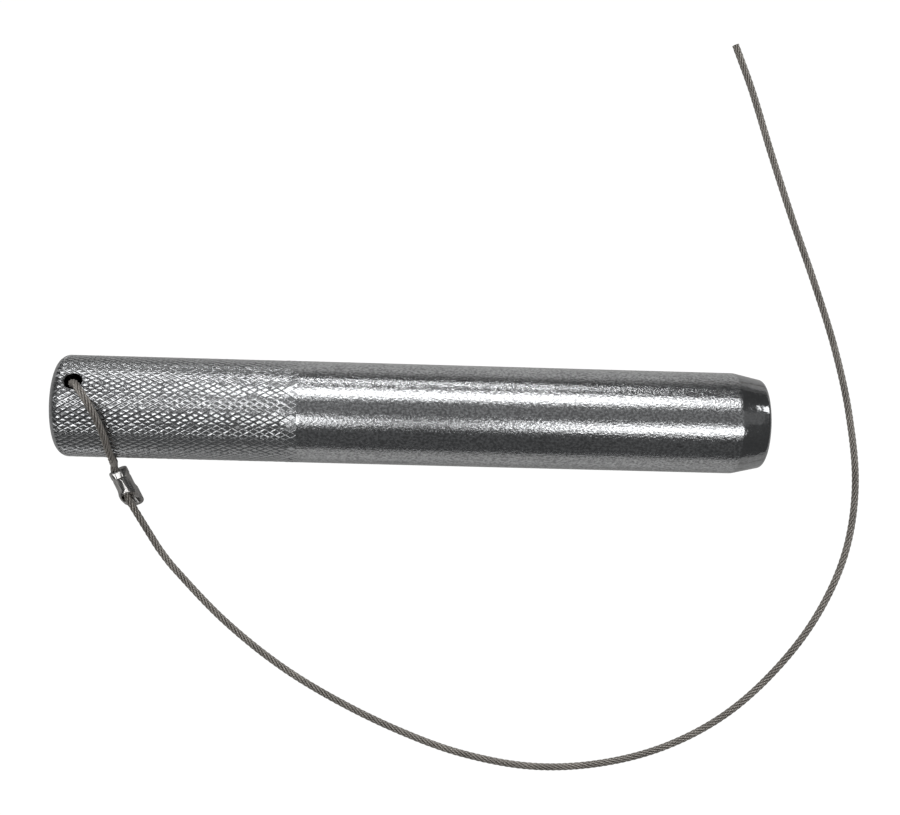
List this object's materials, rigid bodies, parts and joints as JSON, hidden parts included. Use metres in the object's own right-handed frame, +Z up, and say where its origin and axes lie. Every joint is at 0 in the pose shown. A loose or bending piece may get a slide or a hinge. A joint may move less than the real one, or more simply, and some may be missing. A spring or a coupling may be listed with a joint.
{
  "type": "jack stand pin",
  "caption": "Round steel locking pin with a diamond-knurled grip end, a chamfered lead-in tip and a wire rope lanyard crimped through a cross hole.",
  "frame": {"origin": "on the surface the pin lies on, under the middle of the pin", "axes": "+X along the pin from its knurled end to its lead-in tip, +Z up from the surface, +Y away from the side where the lanyard lies"},
  "size_m": [0.2059, 0.1918, 0.0293],
  "materials": {
    "pin_steel": "grainy zinc plating over turned and knurled steel",
    "rope_wire": "dull galvanised wire",
    "sleeve_metal": "crimped metal, satin with bright edges"
  },
  "bodies": {
    "root": {"pin": "pin_steel", "lanyard_rope": "rope_wire", "crimp_sleeve": "sleeve_metal"}
  },
  "joints": []
}
